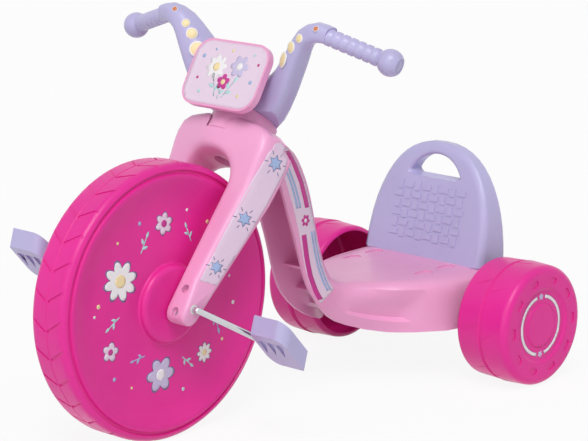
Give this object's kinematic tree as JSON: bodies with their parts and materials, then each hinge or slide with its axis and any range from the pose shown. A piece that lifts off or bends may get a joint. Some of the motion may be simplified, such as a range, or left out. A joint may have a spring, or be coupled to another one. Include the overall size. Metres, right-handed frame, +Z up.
{
  "type": "low rider tricycle",
  "caption": "Child's low rider tricycle: large pedal-driven front wheel in a raked fork, moulded channel frame with low seat and seat back, wide rear wheels, ribbed grips.",
  "frame": {"origin": "on the ground, under the middle of the overall box", "axes": "+X forward, +Y to the rider's left, +Z up"},
  "size_m": [0.8314, 0.5242, 0.5628],
  "materials": {
    "frame_pink": "blow-moulded polyethylene, satin gloss, light pink",
    "wheel_pink": "blow-moulded polyethylene, satin gloss, magenta",
    "lavender": "moulded polyethylene, satin gloss, lavender",
    "bush": "moulded nylon, natural white",
    "steel": "zinc plated steel",
    "chrome": "bright plated steel rod"
  },
  "bodies": {
    "chassis": {"body": "frame_pink", "head_bush_upper": "bush", "head_bush_lower": "bush", "seat_back": "lavender", "seat_screws": "steel", "rear_axle": "steel", "axle_bush_left": "bush", "axle_bush_right": "bush", "axle_washers": "steel", "axle_push_nuts": "steel"},
    "steering": {"fork": "frame_pink", "axle_cap_left": "frame_pink", "axle_cap_right": "frame_pink", "cap_screws": "steel", "crank_bush_left": "bush", "crank_bush_right": "bush", "steering_post": "steel", "post_washer": "steel", "post_nut": "steel", "handlebar": "lavender", "front_plate": "frame_pink", "plate_screws": "steel"},
    "front_wheel": {"front_wheel_left": "wheel_pink", "front_wheel_right": "wheel_pink", "drive_key": "steel", "crank": "chrome", "pedal_nuts": "steel"},
    "left_pedal": {"pedal_left": "lavender", "pedal_cap_left": "lavender"},
    "right_pedal": {"pedal_right": "lavender", "pedal_cap_right": "lavender"},
    "left_rear_wheel": {"rear_wheel_left_outer": "wheel_pink", "rear_wheel_left_inner": "wheel_pink", "rear_cap_left": "wheel_pink"},
    "right_rear_wheel": {"rear_wheel_right_outer": "wheel_pink", "rear_wheel_right_inner": "wheel_pink", "rear_cap_right": "wheel_pink"}
  },
  "joints": [
    {"name": "steering", "type": "hinge", "parent": "chassis", "child": "steering", "pos_m": [0.22525, 0, 0.1905], "axis": [-0.6293, 0, 0.7771], "range_deg": [-40, 40]},
    {"name": "front_wheel_spin", "type": "hinge", "parent": "steering", "child": "front_wheel", "pos_m": [0.22525, 0, 0.1905], "axis": [0, 1, 0], "continuous": true},
    {"name": "left_pedal_spin", "type": "hinge", "parent": "front_wheel", "child": "left_pedal", "pos_m": [0.14893, 0.1625, 0.14281], "axis": [0, 1, 0], "continuous": true},
    {"name": "right_pedal_spin", "type": "hinge", "parent": "front_wheel", "child": "right_pedal", "pos_m": [0.30157, -0.147, 0.23819], "axis": [0, 1, 0], "continuous": true},
    {"name": "left_rear_wheel_spin", "type": "hinge", "parent": "chassis", "child": "left_rear_wheel", "pos_m": [-0.32575, 0.1905, 0.09], "axis": [0, 1, 0], "continuous": true},
    {"name": "right_rear_wheel_spin", "type": "hinge", "parent": "chassis", "child": "right_rear_wheel", "pos_m": [-0.32575, -0.1905, 0.09], "axis": [0, 1, 0], "continuous": true}
  ]
}
